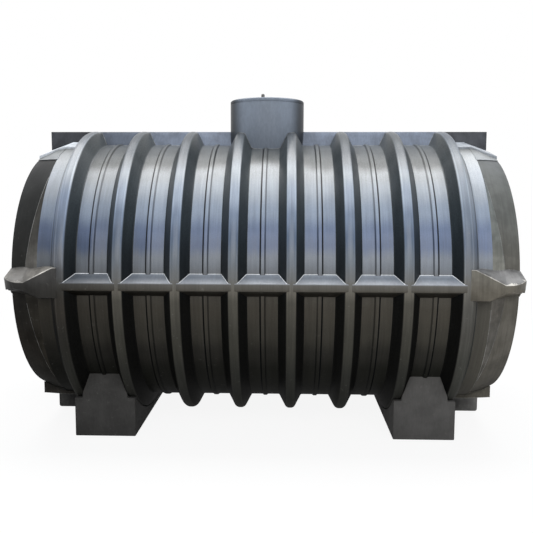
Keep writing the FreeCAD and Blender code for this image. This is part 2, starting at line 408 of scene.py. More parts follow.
class Graph:
    """The nodes of a material or of the world, added from left to right."""

    def __init__(self, owner: Union[bpy.types.Material, bpy.types.World]) -> None:
        """Start with an empty node tree.

        Args:
            owner: The material or the world.
        """
        owner.use_nodes = True
        self.owner = owner
        self.tree = owner.node_tree
        self.tree.nodes.clear()

    def add(self, kind: str, inputs: Optional[dict] = None, **settings: object) -> bpy.types.Node:
        """Add one node, set it and wire its inputs.

        Args:
            kind: The node's type name.
            inputs: Values or output sockets, by input name or number.
            **settings: Properties of the node.

        Returns:
            The node.
        """
        node = self.tree.nodes.new(kind)
        for key, value in settings.items():
            setattr(node, key, value)
        for key, value in (inputs or {}).items():
            if isinstance(value, Socket):
                self.tree.links.new(value, node.inputs[key])
            else:
                node.inputs[key].default_value = value
        return node

    def maths(self, operation: str, *values: object) -> Socket:
        """Add a Math node for an operation on numbers or sockets."""
        return self.add("ShaderNodeMath", dict(enumerate(values)), operation=operation).outputs[0]

    def times(self, first: object, *others: object) -> Socket:
        """Multiply numbers and sockets.

        Args:
            first: The first number or socket.
            *others: The others.

        Returns:
            Their product.
        """
        for other in others:
            first = self.maths("MULTIPLY", first, other)
        return first

    def span(self, value: Socket, low: float, high: float, to_low: float, to_high: float) -> Socket:
        """Map a range of values to another, smoothly and clamped.

        Args:
            value: The socket to map.
            low: Start of the range.
            high: End of the range.
            to_low: Result at the start.
            to_high: Result at the end.

        Returns:
            The mapped value.
        """
        limits = {"Value": value, "From Min": low, "From Max": high, "To Min": to_low, "To Max": to_high}
        return self.add("ShaderNodeMapRange", limits, interpolation_type="SMOOTHSTEP").outputs["Result"]

    def band(self, value: Socket, start: float, full: float, fade: float, end: float) -> Socket:
        """Single out a band of values.

        Args:
            value: The socket to look at.
            start: Where the band begins.
            full: Where it has come up to 1.
            fade: Where it begins to fade.
            end: Where it is 0 again.

        Returns:
            The share from 0 to 1.
        """
        return self.times(self.span(value, start, full, 0.0, 1.0), self.span(value, fade, end, 1.0, 0.0))

    def noise(self, vector: Socket, scale: float, detail: float, roughness: float) -> Socket:
        """Add a Noise Texture.

        Args:
            vector: Where it is read.
            scale: Cells per metre.
            detail: Octaves.
            roughness: Weight of the finer octaves.

        Returns:
            Its value from 0 to 1.
        """
        inputs = {"Vector": vector, "Scale": scale, "Detail": detail, "Roughness": roughness}
        return self.add("ShaderNodeTexNoise", inputs).outputs["Fac"]

    def blend(self, share: object, first: object, second: object, mode: str = "MIX") -> Socket:
        """Mix two colours.

        Args:
            share: How much of the second, as a number or socket.
            first: First colour or socket.
            second: Second colour or socket.
            mode: How they are mixed.

        Returns:
            The mixed colour.
        """
        node = self.add("ShaderNodeMix", {0: share}, data_type="RGBA", blend_type=mode)
        for socket, value in ((node.inputs[6], first), (node.inputs[7], second)):
            if isinstance(value, Socket):
                self.tree.links.new(value, socket)
            else:
                socket.default_value = (*value, 1.0)
        return node.outputs[2]

    def shade(self, colour: Socket, level: Socket) -> Socket:
        """Make a colour lighter or darker by a level."""
        grey = self.add("ShaderNodeCombineXYZ", {0: level, 1: level, 2: level}).outputs[0]
        return self.blend(1.0, colour, grey, "MULTIPLY")

    def ramp(self, height: Socket, colours: Sequence[Stop]) -> Socket:
        """Add a Colour Ramp from the belly to the crown.

        Args:
            height: From -1 to 1.
            colours: Its stops.

        Returns:
            Its colour.
        """
        node = self.add("ShaderNodeValToRGB", {"Fac": self.maths("MULTIPLY_ADD", height, 0.5, 0.5)})
        node.color_ramp.interpolation = "EASE"
        elements = node.color_ramp.elements
        rows = [(0.5 + 0.5 * place, (*colour, 1.0)) for place, colour in colours]
        elements[0].position, elements[0].color = rows[0]
        elements[1].position, elements[1].color = rows[-1]
        for place, colour in rows[1:-1]:
            element = elements.new(place)
            element.color = colour
        return node.outputs["Color"]

    def seen(self) -> Socket:
        """Say what the camera sees straight, in a reflection or through a clear piece.

        Returns:
            1 on such a ray and 0 on any other.
        """
        rays = self.add("ShaderNodeLightPath").outputs
        straight = self.maths("MAXIMUM", rays["Is Camera Ray"], rays["Is Transmission Ray"])
        return self.maths("MAXIMUM", straight, rays["Is Glossy Ray"])


@dataclass(frozen=True)
class TankCoordinates:
    """Sockets that say where a point lies on the round tank."""

    place: Socket
    along: Socket
    out: Socket
    rise: Socket
    radius: Socket
    across_bay: Socket
    streak: Socket

    @classmethod
    def read(cls, graph: Graph) -> "TankCoordinates":
        """Add the nodes that work them out from the object coordinates.

        Args:
            graph: The material's nodes.

        Returns:
            The sockets. rise is -1 at the belly, 0 on the parting line and 1 on the crown.
        """
        place = graph.add("ShaderNodeTexCoord").outputs["Object"]
        along, across, height = graph.add("ShaderNodeSeparateXYZ", {0: place}).outputs
        up = graph.maths("SUBTRACT", height, AXIS_HEIGHT)
        radius = graph.maths("SQRT", graph.maths("ADD", graph.times(across, across), graph.times(up, up)))
        rise = graph.maths("DIVIDE", up, graph.maths("MAXIMUM", radius, 0.01))
        turn = graph.maths("ARCTAN2", up, graph.maths("ABSOLUTE", across))
        drawn = {0: along, 1: graph.times(turn, 0.035), 2: graph.times(radius, 0.4)}
        streak = graph.add("ShaderNodeCombineXYZ", drawn).outputs[0]
        nearest = graph.maths("ROUND", graph.maths("DIVIDE", along, RIB_PITCH))
        across_bay = graph.maths("MULTIPLY_ADD", nearest, -RIB_PITCH, along)
        return cls(place, along, graph.maths("ABSOLUTE", along), rise, radius, across_bay, streak)


BEAD_SHADOW = srgb(9, 10, 11)
FOOT_SHADOW = srgb(20, 24, 28)
SCRATCH = srgb(128, 126, 122)


@dataclass(frozen=True)
class MouldedPlastic:
    """Black plastic whose colours paint reflections: a pale painted highlight and painted sky above the
    parting line, painted dark ground below it, and a dull belly.
    """

    name: str
    stops: tuple[Stop, ...]
    # Colours of the rib flanks, in painted shade.
    flank_stops: tuple[Stop, ...] = ()
    crest_radius: float = 0.842
    # Beyond this distance along the tank an end rib's outer flank keeps the crest's painted light, less so
    # below the parting line.
    light_beyond: float = 10.0
    outer_low: float = 1.0
    wander: float = 0.06
    # Painted shadow lines along the beads.
    bead_lines: float = 0.0
    # Painted light and shade along the tank: lighter to the right, darker to the left, less in the upper
    # half.
    sideways: float = 0.0
    sideways_top: float = 0.0
    clouds: float = 0.0
    grain: float = 0.0
    # These two move the painted highlight: lower on the bays away from the middle, higher at the ends.
    crown_fall: float = 0.0
    end_rise: float = 0.0
    # Painted shade towards the left end, and a lighter colour painted on the band beside the right cap below
    # the parting line.
    left_shade: float = 1.0
    end_band: Optional[Colour] = None
    matt: float = 0.85
    crown_line: float = 0.83
    crown_shine: float = 1.0
    crown_blur: float = 0.035
    flank_shine: float = 0.6
    # Painted highlight on the crest's rounded edges, painted shadow at the outer feet of the end ribs and
    # painted shade on the shaft's sides.
    edge_highlight: float = 0.0
    foot_shadow_line: float = 0.0
    limb_shade: float = 0.0
    streak_strength: float = 0.28
    gloss: float = 0.34
    dull: float = 0.42
    shine_above: float = 0.5
    shine_below: float = 0.22
    scuffs: float = 0.25
    wave_height: float = 0.0025
    skin_height: float = 0.0006

    def build(self) -> bpy.types.Material:
        """Make the material.

        Returns:
            The material.
        """
        graph = Graph(bpy.data.materials.new(self.name))
        tank = TankCoordinates.read(graph)
        wide = graph.noise(tank.streak, 22.0, 3.0, 0.5)
        fine = graph.noise(tank.streak, 95.0, 4.0, 0.6)
        streaks = graph.maths("ADD", graph.times(fine, 0.6), graph.times(wide, 0.4))
        # Painted shade towards the left end, which also dims the shine there.
        left = graph.span(tank.along, -1.20, -0.40, self.left_shade, 1.0)
        height = self.height(graph, tank, wide)
        colour, lit = self.base(graph, tank, height)
        colour = graph.shade(self.painted_shading(graph, tank, colour), left)
        level = graph.span(streaks, 0.32, 0.68, 1.0 - self.streak_strength, 1.0 + self.streak_strength)
        colour = self.light_and_wear(graph, tank, graph.shade(colour, level), lit)
        above = graph.span(tank.rise, -0.06, 0.06, 0.0, 1.0)
        roughness = graph.maths("ADD", graph.maths("MULTIPLY_ADD", above, self.gloss - self.dull, self.dull),
                                graph.times(graph.maths("SUBTRACT", streaks, 0.5), 0.30))
        shine = graph.maths("MULTIPLY_ADD", above, self.shine_above - self.shine_below, self.shine_below)
        on_flank = graph.maths("MULTIPLY_ADD", lit, 1.0 - self.flank_shine, self.flank_shine)
        crown = graph.span(height, self.crown_line - self.crown_blur, self.crown_line + self.crown_blur,
                           1.0, self.crown_shine)
        shine = graph.times(shine, on_flank, crown, left)
        swell = graph.maths("ADD", graph.noise(tank.place, 5.0, 2.0, 0.5), graph.times(streaks, 0.12))
        waves = graph.add("ShaderNodeBump", {"Strength": 1.0, "Distance": self.wave_height, "Height": swell})
        pores = graph.noise(tank.place, 420.0, 2.0, 0.5)
        skin = graph.add("ShaderNodeBump", {"Strength": 0.25, "Distance": self.skin_height, "Height": pores,
                                            "Normal": waves.outputs[0]}).outputs[0]
        glossy = graph.add("ShaderNodeBsdfPrincipled", {"Base Color": colour, "Roughness": roughness,
                                                        "Specular IOR Level": shine, "Normal": skin})
        dusty = graph.add("ShaderNodeBsdfDiffuse", {"Color": colour, "Normal": skin})
        belly = graph.times(graph.span(tank.rise, -0.45, 0.0, self.matt, self.matt * 0.5),
                            graph.maths("SUBTRACT", 1.0, above))
        mixed = graph.add("ShaderNodeMixShader", {0: belly, 1: glossy.outputs[0], 2: dusty.outputs[0]})
        graph.add("ShaderNodeOutputMaterial", {"Surface": mixed.outputs[0]})
        return graph.owner

    def height(self, graph: Graph, tank: TankCoordinates, streak: Socket) -> Socket:
        """Let the rise wander a little, and shift it near the crown, which moves the painted highlight lower
        on the bays away from the middle and higher at the ends.

        Args:
            graph: The material's nodes.
            tank: Where the point lies.
            streak: The wide streaks.

        Returns:
            The height by which colours are laid, -1 at the belly and 1 on the crown.
        """
        cloud = graph.noise(tank.place, 3.2, 4.0, 0.6)
        shift = graph.times(graph.maths("SUBTRACT", streak, 0.5), self.wander)
        drift = graph.times(graph.maths("SUBTRACT", cloud, 0.5), self.wander)
        height = graph.maths("ADD", graph.maths("ADD", tank.rise, shift), drift)
        if self.crown_fall:
            fall = graph.maths("SUBTRACT", graph.span(tank.out, 0.10, 0.35, 0.0, self.crown_fall),
                               graph.span(tank.out, 1.09, 1.11, 0.0, self.end_rise))
            height = graph.maths("MULTIPLY_ADD", fall, graph.span(tank.rise, 0.60, 0.75, 0.0, 1.0), height)
        return height

    def base(self, graph: Graph, tank: TankCoordinates, height: Socket) -> tuple[Socket, object]:
        """Lay the colours from belly to crown, which paint the reflections of ground and sky, and those of a
        rib's crest and of its flanks in painted shade.

        Args:
            graph: The material's nodes.
            tank: Where the point lies.
            height: The height by which colours are laid.

        Returns:
            The colour, and the share of painted light: 1 on a crest or an outer flank, 0 on a shaded flank.
        """
        colour = graph.ramp(height, self.stops)
        if self.bead_lines:
            colour = graph.blend(self.bead_shadow(graph, tank), colour, BEAD_SHADOW)
        if not self.flank_stops:
            return colour, 1.0
        mottle = graph.span(graph.noise(tank.place, 120.0, 4.0, 0.6), 0.32, 0.70, 0.82, 1.28)
        flank = graph.shade(graph.ramp(height, self.flank_stops), mottle)
        # The crest and, beyond a given distance, the outer flank keep the lit colours; the other flanks get
        # painted shade.
        crest = graph.span(tank.radius, self.crest_radius - 0.004, self.crest_radius + 0.003, 0.0, 1.0)
        outer = graph.times(graph.maths("GREATER_THAN", tank.out, self.light_beyond),
                            graph.span(tank.rise, -0.25, 0.08, self.outer_low, 1.0))
        lit = graph.maths("MAXIMUM", crest, outer)
        # Painted highlight along the crest's rounded edges.
        edge = graph.times(graph.band(tank.radius, 0.8415, 0.8435, 0.8462, 0.8480),
                           graph.span(tank.rise, -0.35, 0.10, 0.25, 1.0))
        colour = graph.shade(colour, graph.maths("MULTIPLY_ADD", edge, self.edge_highlight, 1.0))
        return graph.blend(lit, flank, colour), lit

    def bead_shadow(self, graph: Graph, tank: TankCoordinates) -> Socket:
        """Draw the dark line along both flanks of a bead, darker away from the tank's middle.

        Args:
            graph: The material's nodes.
            tank: Where the point lies.

        Returns:
            Its share from 0 to 1.
        """
        line = graph.band(graph.maths("ABSOLUTE", tank.across_bay), 0.0074, 0.0092, 0.0158, 0.0182)
        in_bay = graph.maths("LESS_THAN", tank.out, 1.0)
        from_middle = graph.maths("SUBTRACT", tank.along, 0.06)
        side = graph.maths("SIGN", graph.times(tank.across_bay, from_middle))
        weight = graph.maths("MULTIPLY_ADD", side, 0.22, 0.74)
        return graph.times(line, in_bay, weight, self.bead_lines)

    def painted_shading(self, graph: Graph, tank: TankCoordinates, colour: Socket) -> Socket:
        """Lay the painted shadow line at the last ribs' feet, the painted shade on the shaft's sides and the
        painted lighter band beside the right cap, below the parting line.

        Args:
            graph: The material's nodes.
            tank: Where the point lies.
            colour: The colour so far.

        Returns:
            The new colour.
        """
        # Painted shadow in the crease at the outer foot of the end ribs.
        if self.foot_shadow_line:
            line = graph.times(graph.band(tank.out, 1.0985, 1.1015, 1.1065, 1.1095), self.foot_shadow_line)
            colour = graph.blend(line, colour, FOOT_SHADOW)
        # Painted shade: darker towards the shaft's left and right sides, a little darker at its middle.
        if self.limb_shade:
            side = graph.maths("DIVIDE", tank.out, SHAFT_RADIUS)
            colour = graph.shade(colour, graph.times(graph.span(side, 0.60, 0.93, 1.0, 1.0 - self.limb_shade),
                                                     graph.span(side, 0.0, 0.5, 0.88, 1.0)))
        # Painted light: a lighter flat colour on the band beside the right cap, below the parting line.
        if self.end_band:
            share = graph.times(graph.span(tank.along, 1.104, 1.112, 0.0, 1.0),
                                graph.span(tank.rise, -0.12, 0.0, 1.0, 0.0))
            colour = graph.blend(share, colour, self.end_band)
        return colour

    def light_and_wear(self, graph: Graph, tank: TankCoordinates, colour: Socket, lit: object) -> Socket:
        """Lay the painted light that grows along the tank towards the right end, the dust clouds, the grain
        and the scratches.

        Args:
            graph: The material's nodes.
            tank: Where the point lies.
            colour: The colour so far.
            lit: The share of painted light, 1 on a crest; the scratches are laid in proportion to it.

        Returns:
            The new colour.
        """
        # Painted light and shade: lighter towards the right end, darker towards the left, most of all below
        # the upper half.
        if self.sideways:
            low = graph.span(tank.rise, 0.15, 0.55, 1.0, self.sideways_top)
            gain = graph.maths("MULTIPLY_ADD", graph.times(tank.along, self.sideways), low, 1.0)
            colour = graph.shade(colour, gain)
        if self.clouds:
            patches = graph.noise(tank.place, 9.0, 5.0, 0.6)
            gain = graph.span(patches, 0.35, 0.65, 1.0 - self.clouds, 1.0 + self.clouds)
            colour = graph.shade(colour, gain)
        if self.grain:
            speckle = graph.noise(tank.place, 170.0, 4.0, 0.7)
            gain = graph.span(speckle, 0.35, 0.65, -self.grain, self.grain)
            top = graph.span(tank.rise, 0.66, 0.86, 0.25, 1.0)
            colour = graph.shade(colour, graph.maths("MULTIPLY_ADD", gain, top, 1.0))
        scratches = graph.span(graph.noise(tank.place, 38.0, 6.0, 0.75), 0.60, 0.74, 0.0, self.scuffs)
        return graph.blend(graph.times(scratches, lit), colour, SCRATCH)


# Painted reflections on the bays: dark ground below the parting line; above it a grey horizon, blue sky and a
# pale highlight band, darker again at the crown.
BAY_STOPS = stops(
    (-1.0, 20, 20, 18), (-0.64, 26, 26, 23), (-0.50, 37, 36, 33), (-0.34, 52, 50, 45), (-0.17, 59, 56, 50),
    (-0.03, 73, 70, 64), (0.03, 98, 100, 102), (0.17, 101, 107, 115), (0.27, 68, 82, 108),
    (0.36, 82, 96, 122), (0.50, 124, 135, 150), (0.64, 140, 147, 155), (0.79, 131, 135, 138),
    (0.86, 84, 86, 86), (1.0, 66, 70, 73),
)
# Painted reflections on the rib crests; the first rib's copy is painted darker and the last rib's lighter,
# for the shade at the left end and the light at the right.
CREST_STOPS = stops(
    (-1.0, 30, 30, 28), (-0.60, 42, 42, 39), (-0.34, 54, 53, 48), (-0.10, 68, 66, 60), (-0.02, 88, 85, 78),
    (0.02, 88, 87, 83), (0.06, 88, 90, 91), (0.17, 88, 95, 103), (0.30, 76, 88, 106), (0.42, 98, 110, 128),
    (0.55, 134, 144, 158), (0.70, 142, 148, 154), (0.84, 88, 92, 96), (1.0, 64, 68, 72),
)
FIRST_CREST_STOPS = stops(
    (-1.0, 28, 28, 26), (-0.60, 37, 37, 34), (-0.34, 37, 36, 33), (-0.14, 45, 42, 38), (0.0, 46, 45, 42),
    (0.07, 56, 57, 58), (0.17, 82, 86, 93), (0.30, 76, 87, 104), (0.52, 108, 119, 136), (0.70, 140, 146, 152),
    (0.86, 104, 108, 113), (1.0, 72, 76, 80),
)
LAST_CREST_STOPS = stops(
    (-1.0, 48, 48, 46), (-0.50, 58, 58, 54), (-0.32, 67, 66, 62), (-0.14, 76, 75, 71), (0.0, 94, 92, 87),
    (0.12, 96, 99, 102), (0.27, 84, 93, 107), (0.42, 104, 114, 128), (0.60, 128, 136, 146),
    (0.80, 116, 121, 126), (1.0, 74, 79, 86),
)
# Painted shade on the rib flanks, which face the neighbouring ribs.
FLANK_STOPS = stops(
    (-1.0, 14, 14, 13), (-0.1, 16, 16, 15), (0.1, 22, 26, 29), (0.45, 33, 39, 43), (0.7, 43, 49, 53),
    (1.0, 54, 58, 60),
)
# The flange bars: painted shadow on the underside, the front face, then on the top face a pale painted
# highlight at its front and back edges with painted sky between.
FLANGE_STOPS = stops(
    (-0.10, 22, 20, 17), (-0.028, 30, 28, 24), (-0.022, 68, 65, 59), (0.0, 73, 71, 66), (0.0205, 77, 75, 71),
    (0.0225, 134, 138, 144), (0.055, 98, 106, 116), (0.075, 128, 135, 144),
)
# The caps' panels: the left copy is painted darker and the right copy lighter, for the shade at the left end
# and the light at the right.
LEFT_CAP_STOPS = stops(
    (-1.0, 24, 24, 22), (-0.4, 29, 27, 24), (-0.05, 26, 25, 23), (0.05, 28, 28, 26), (0.6, 31, 32, 32),
    (1.0, 34, 35, 36),
)
RIGHT_CAP_STOPS = stops(
    (-1.0, 66, 64, 59), (-0.4, 84, 81, 75), (-0.05, 88, 85, 78), (0.05, 88, 86, 80), (0.6, 84, 86, 84),
    (1.0, 74, 77, 79),
)
# The wedges: painted darker on the left and lighter on the right for the light at the right end, both paler
# just above the parting line.
LEFT_WEDGE_STOPS = stops(
    (-1.0, 30, 28, 24), (-0.4, 31, 29, 25), (-0.12, 35, 33, 29), (0.12, 88, 86, 82), (0.35, 54, 53, 50),
    (0.75, 32, 31, 29), (1.0, 32, 32, 31),
)
RIGHT_WEDGE_STOPS = stops(
    (-1.0, 62, 59, 54), (-0.4, 76, 74, 70), (-0.12, 84, 81, 76), (0.12, 122, 122, 115), (0.35, 98, 101, 98),
    (0.75, 80, 86, 88), (1.0, 78, 84, 86),
)
# The wings' bodies, painted darker on the left and lighter on the right for the light at the right end.
LEFT_WING_STOPS = stops((-0.15, 28, 27, 25), (-0.03, 37, 36, 34), (0.09, 43, 42, 41), (0.15, 50, 49, 48))
RIGHT_WING_STOPS = stops((-0.15, 62, 58, 51), (-0.03, 84, 80, 72), (0.09, 94, 91, 83), (0.15, 100, 98, 92))
# The pads: dark below and a pale painted highlight on the upper ones, with the left copy painted paler than
# the right.
LEFT_PAD_STOPS = stops((-1.0, 38, 36, 33), (-0.5, 38, 36, 33), (0.6, 156, 161, 167), (1.0, 180, 185, 191))
RIGHT_PAD_STOPS = stops((-1.0, 80, 77, 70), (-0.5, 80, 77, 70), (0.6, 116, 120, 124), (1.0, 136, 141, 147))
# Pale lines of painted highlight on fillets and edges.
HIGHLIGHT_LINE_STOPS = stops((-1.0, 120, 118, 110), (0.0, 215, 218, 220), (1.0, 196, 202, 210))


class Finish(Enum):
    """The finishes of the tank's pieces, whose colours paint the reflections and the light and shade on them.
    """

    BAY = MouldedPlastic("bay_plastic", BAY_STOPS, streak_strength=0.12, bead_lines=1.0, shine_above=0.42,
                         shine_below=0.1, scuffs=0.12, sideways=0.22, crown_line=0.85, crown_shine=0.3,
                         crown_fall=0.045, end_rise=0.15, grain=0.22, left_shade=0.74,
                         end_band=srgb(62, 60, 55))
    RIB = MouldedPlastic("rib_plastic", CREST_STOPS, FLANK_STOPS, streak_strength=0.14, wander=0.03,
                         shine_above=0.36, shine_below=0.1, sideways=0.12, crown_line=0.84, crown_shine=0.3,
                         crown_fall=0.04, edge_highlight=0.2, grain=0.18)
    RIB_FIRST = replace(RIB, name="first_rib_plastic", stops=FIRST_CREST_STOPS, light_beyond=1.062,
                        outer_low=0.3, shine_below=0.08, sideways=0.0, crown_line=0.87, crown_fall=0.0,
                        edge_highlight=0.35, foot_shadow_line=0.7)
    RIB_LAST = replace(RIB, name="last_rib_plastic", stops=LAST_CREST_STOPS, light_beyond=1.062,
                       shine_above=0.3, sideways=0.0, crown_fall=0.03, edge_highlight=0.35, foot_shadow_line=0.7)
    FLANGE = MouldedPlastic("flange_plastic", FLANGE_STOPS, wander=0.0, streak_strength=0.12,
                            wave_height=0.0008, shine_below=0.08, sideways=0.15, left_shade=0.45)
    # The fins: painted sky reflection, paler towards the crown, and painted shade towards the left end.
    FIN = MouldedPlastic("fin_plastic", stops((-1.0, 58, 62, 70), (0.0, 58, 62, 70), (1.0, 96, 105, 120)),
                         streak_strength=0.15, clouds=0.15, left_shade=0.4)
    CAP_LEFT = MouldedPlastic("left_cap_plastic", LEFT_CAP_STOPS, streak_strength=0.18, clouds=0.2,
                              shine_above=0.1, shine_below=0.05, gloss=0.5)
    CAP_RIGHT = MouldedPlastic("right_cap_plastic", RIGHT_CAP_STOPS, streak_strength=0.16, clouds=0.15,
                               shine_above=0.2, shine_below=0.08, gloss=0.5)
    WEDGE_LEFT = MouldedPlastic("left_wedge_plastic", LEFT_WEDGE_STOPS, streak_strength=0.16, clouds=0.25,
                                shine_above=0.15, shine_below=0.06)
    WEDGE_RIGHT = MouldedPlastic("right_wedge_plastic", RIGHT_WEDGE_STOPS, streak_strength=0.16, clouds=0.25,
                                 shine_above=0.2, shine_below=0.08)
    WING_LEFT = MouldedPlastic("left_wing_plastic", LEFT_WING_STOPS, wander=0.02, streak_strength=0.14,
                               clouds=0.25, scuffs=0.12, gloss=0.42, shine_above=0.25, shine_below=0.08)
    WING_RIGHT = replace(WING_LEFT, name="right_wing_plastic", stops=RIGHT_WING_STOPS, clouds=0.2)
    # The leaves, the wings' upward faces, are painted paler than the bodies for the light from above; the
    # scuffs are wear.
    LEAF_LEFT = MouldedPlastic("left_leaf_plastic", plain(98, 95, 90), wander=0.02, streak_strength=0.2,
                               clouds=0.45, scuffs=0.6, gloss=0.4)
    LEAF_RIGHT = replace(LEAF_LEFT, name="right_leaf_plastic", stops=plain(82, 82, 82), clouds=0.5)
    # The plates: the lower ones painted paler to make up for the shade under the cap, and painted lighter
    # towards the right end.
    PLATE = MouldedPlastic("plate_plastic", stops((-1.0, 86, 85, 83), (1.0, 59, 61, 65)),
                           streak_strength=0.12, clouds=0.3, gloss=0.5, dull=0.5, shine_above=0.15,
                           shine_below=0.1, scuffs=0.12, sideways=0.40, sideways_top=0.30)
    PAD_LEFT = MouldedPlastic("left_pad_plastic", LEFT_PAD_STOPS, streak_strength=0.2, clouds=0.25,
                              scuffs=0.3, shine_above=0.3)
    PAD_RIGHT = replace(PAD_LEFT, name="right_pad_plastic", stops=RIGHT_PAD_STOPS)
    # The feet: painted lighter towards the right end.
    FOOT = MouldedPlastic("foot_plastic", stops((-1.0, 70, 69, 68), (-0.5, 64, 63, 61)), streak_strength=0.08,
                          clouds=0.1, gloss=0.5, dull=0.5, shine_below=0.12, sideways=0.34)
    # The shaft: a bluish colour that paints the sky's reflection, with painted shade on its sides.
    SHAFT = MouldedPlastic("shaft_plastic", plain(112, 120, 131), streak_strength=0.08, gloss=0.4, dull=0.4,
                           shine_above=0.12, limb_shade=0.85)
    LUG = MouldedPlastic("lug_plastic", stops((-1.0, 20, 20, 20), (1.0, 24, 24, 24)), streak_strength=0.05)
    # Pale lines of painted highlight.
    SEAM = MouldedPlastic("highlight_line_plastic", HIGHLIGHT_LINE_STOPS, streak_strength=0.25, scuffs=0.0)
    # Paler lines of painted highlight along creases and junctions, painted lighter towards the right end.
    CREASE = MouldedPlastic("crease_highlight_plastic", stops((-1.0, 92, 91, 88), (1.0, 112, 113, 112)),
                            streak_strength=0.5, clouds=0.4, scuffs=0.0, sideways=0.3)
    WORN = MouldedPlastic("worn_edge_plastic", stops((-1.0, 158, 154, 147), (1.0, 170, 168, 163)),
                          streak_strength=0.4, clouds=0.5, scuffs=0.4, gloss=0.6, shine_above=0.06)


class Paintshop:
    """Makes each finish once and puts it on pieces."""

    def __init__(self) -> None:
        """Start with no finish made."""
        self.made: dict[Finish, bpy.types.Material] = {}

    def coat(self, piece: Piece, finishes: Sequence[Finish]) -> None:
        """Give a piece its finishes, in the order of its material slots.

        Args:
            piece: The piece.
            finishes: Its finishes.
        """
        piece.data.materials.clear()
        for finish in finishes:
            if finish not in self.made:
                self.made[finish] = finish.value.build()
            piece.data.materials.append(self.made[finish])


@dataclass
class Assembly:
    """What every sub-assembly does with a finished piece."""

    paint: Paintshop

    def fit(self, piece: Piece, finishes: Sequence[Finish], nodes: Sequence[str], slot: str,
            sort: Optional[Callable[[Face], int]] = None) -> None:
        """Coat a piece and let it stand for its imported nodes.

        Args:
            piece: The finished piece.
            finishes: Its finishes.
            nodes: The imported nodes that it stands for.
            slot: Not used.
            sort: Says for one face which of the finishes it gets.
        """
        self.paint.coat(piece, finishes)
        if sort:
            for polygon in piece.data.polygons:
                polygon.material_index = sort(polygon)
        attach(piece, "root")
        if nodes:
            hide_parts(*nodes)
        log.info("%s: %d faces", piece.name, len(piece.data.polygons))


@dataclass
class Barrel(Assembly):
    """Round barrel skin with a raised bead in each bay."""

    bead_base: float = 0.030
    bead_top: float = 0.018
    bead_height: float = 0.007
    bead_round: float = 0.0022

    def build(self) -> None:
        """Spin the wall's section, beads and all, round the axis."""
        outer = AXIS_HEIGHT + BARREL_RADIUS
        top = outer + self.bead_height
        corners = [(-BARREL_HALF, 0.0, outer)]
        for index in range(RIB_COUNT - 1):
            centre = bay_centre(index)
            foot, crest = self.bead_base / 2.0, self.bead_top / 2.0
            corners += [(centre - foot, 0.0, outer), (centre - crest, 0.0, top), (centre + crest, 0.0, top),
                        (centre + foot, 0.0, outer)]
        rounded = corners[1:]
        inner = outer - WALL
        corners += [(BARREL_HALF, 0.0, outer), (BARREL_HALF, 0.0, inner), (-BARREL_HALF, 0.0, inner)]
        skin = Bench.outline("barrel_skin", corners)
        Bench.round_corners(rounded, self.bead_round, 2)
        Bench.turn_round_axis()
        Bench.close(skin, ROUND_SHADING)
        beads = ["bay_bead_%d" % (index + 1) for index in range(RIB_COUNT - 1)]
        self.fit(skin, (Finish.BAY,), ["barrel"] + beads, "barrel")


@dataclass
class RingRibs(Assembly):
    """Eight ring ribs with flat crests and flared roots."""

    crest_round: float = 0.016
    root_flare: float = 0.004
    root_step: float = 0.0004
    sunk: float = 0.006

    def build(self) -> None:
        """Spin one rib and copy it along the barrel."""
        foot = AXIS_HEIGHT + BARREL_RADIUS
        centre = rib_centre(0)
        flare = RIB_BASE / 2.0 + self.root_flare
        half = [(flare, foot - self.sunk), (flare, foot + self.root_step),
                (RIB_BASE / 2.0, foot + 2.0 * self.root_step), (RIB_CREST / 2.0, AXIS_HEIGHT + RIB_RADIUS)]
        corners = [(centre - out, 0.0, height) for out, height in half]
        corners += [(centre + out, 0.0, height) for out, height in reversed(half)]
        rib = Bench.outline("ring_rib_1", corners)
        Bench.round_corners(corners[3:5], self.crest_round, 6)
        Bench.round_corners([corners[2], corners[5]], self.root_flare, 2)
        Bench.turn_round_axis()
        Bench.close(rib, ROUND_SHADING)
        self.fit(rib, (Finish.RIB_FIRST,), ["rib_1"], "ribs")
        for index in range(1, RIB_COUNT):
            # The first and last ribs take copies painted darker and lighter, for the shade at the left end
            # and the light at the right.
            finish = Finish.RIB_LAST if index == RIB_COUNT - 1 else Finish.RIB
            twin = Bench.copy_along(rib, "ring_rib_%d" % (index + 1), rib_centre(index) - centre)
            self.fit(twin, (finish,), ["rib_%d" % (index + 1)], "ribs")


